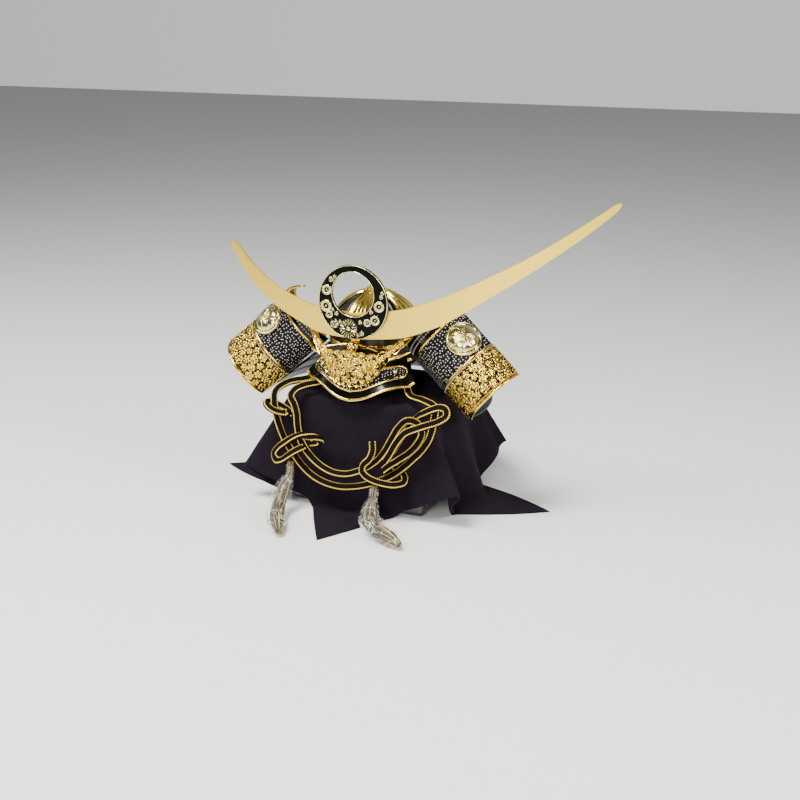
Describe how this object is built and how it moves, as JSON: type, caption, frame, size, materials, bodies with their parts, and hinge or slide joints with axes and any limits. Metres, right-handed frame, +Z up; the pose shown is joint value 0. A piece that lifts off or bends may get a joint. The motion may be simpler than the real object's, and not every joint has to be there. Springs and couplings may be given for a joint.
{
  "type": "kabuto samurai helmet on cloth-draped stand box",
  "caption": "Small display kabuto helmet with a crescent and ring crest, side turnbacks, neck guard and knotted chin cord, held on a cloth-draped stand box.",
  "frame": {"origin": "centre of the stand box's flat bottom face, on the floor", "axes": "+Z up, -Y the way the helmet faces, +X towards the longer horn of the crescent"},
  "size_m": [0.381, 0.2997, 0.281],
  "materials": {
    "black_lacquer": "deep black lacquer on a moulded or wooden base",
    "purple_cloth": "dark purple crepe cloth",
    "dark_iron": "dark brown metal, semi-gloss",
    "gold_plate": "polished gold plate",
    "pale_gold": "cast relief in pale gold plate",
    "satin_gold": "satin champagne gold plate",
    "dotted_leather": "black leather with small pale dots",
    "dark_enamel": "green-black enamelled disc with gold bosses",
    "navy_lacing": "navy silk lacing",
    "black_gold_braid": "black braid with gold thread along both edges",
    "tassel_silk": "black and gold tassel in clear film",
    "plain_wood": "plain turned wood"
  },
  "bodies": {
    "root": {"stand_box": "black_lacquer", "cloth": "purple_cloth", "stand_post": "plain_wood", "bowl": "dark_iron", "crown_plate_front": "gold_plate", "crown_plate_right": "gold_plate", "crown_plate_back": "gold_plate", "crown_plate_left": "gold_plate", "crown_finial": "pale_gold", "visor": "black_lacquer", "visor_rim": "gold_plate", "visor_leather": "dotted_leather", "visor_leather_rim": "gold_plate", "visor_rivet_left": "gold_plate", "visor_rivet_right": "gold_plate", "brow_ornament": "pale_gold", "crest_bracket": "gold_plate", "crescent": "satin_gold", "ring_disc": "dark_enamel", "inner_strip_left": "dotted_leather", "inner_rim_left": "gold_plate", "side_leather_left": "dotted_leather", "gold_strip_left": "gold_plate", "relief_band_left": "pale_gold", "outer_rim_left": "gold_plate", "side_crest_left": "pale_gold", "inner_strip_right": "dotted_leather", "inner_rim_right": "gold_plate", "side_leather_right": "dotted_leather", "gold_strip_right": "gold_plate", "relief_band_right": "pale_gold", "outer_rim_right": "gold_plate", "side_crest_right": "pale_gold", "lame_1": "black_lacquer", "lame_2": "black_lacquer", "lame_3": "black_lacquer", "lame_4": "black_lacquer", "lacing_1": "navy_lacing", "lacing_2": "navy_lacing", "lacing_3": "navy_lacing", "chin_cord_a": "black_gold_braid", "chin_cord_b": "black_gold_braid", "chin_cord_c": "black_gold_braid", "knot_left_upper": "black_gold_braid", "knot_left_lower": "black_gold_braid", "knot_right": "black_gold_braid", "tassel_left": "tassel_silk", "tassel_right": "tassel_silk"}
  },
  "joints": []
}
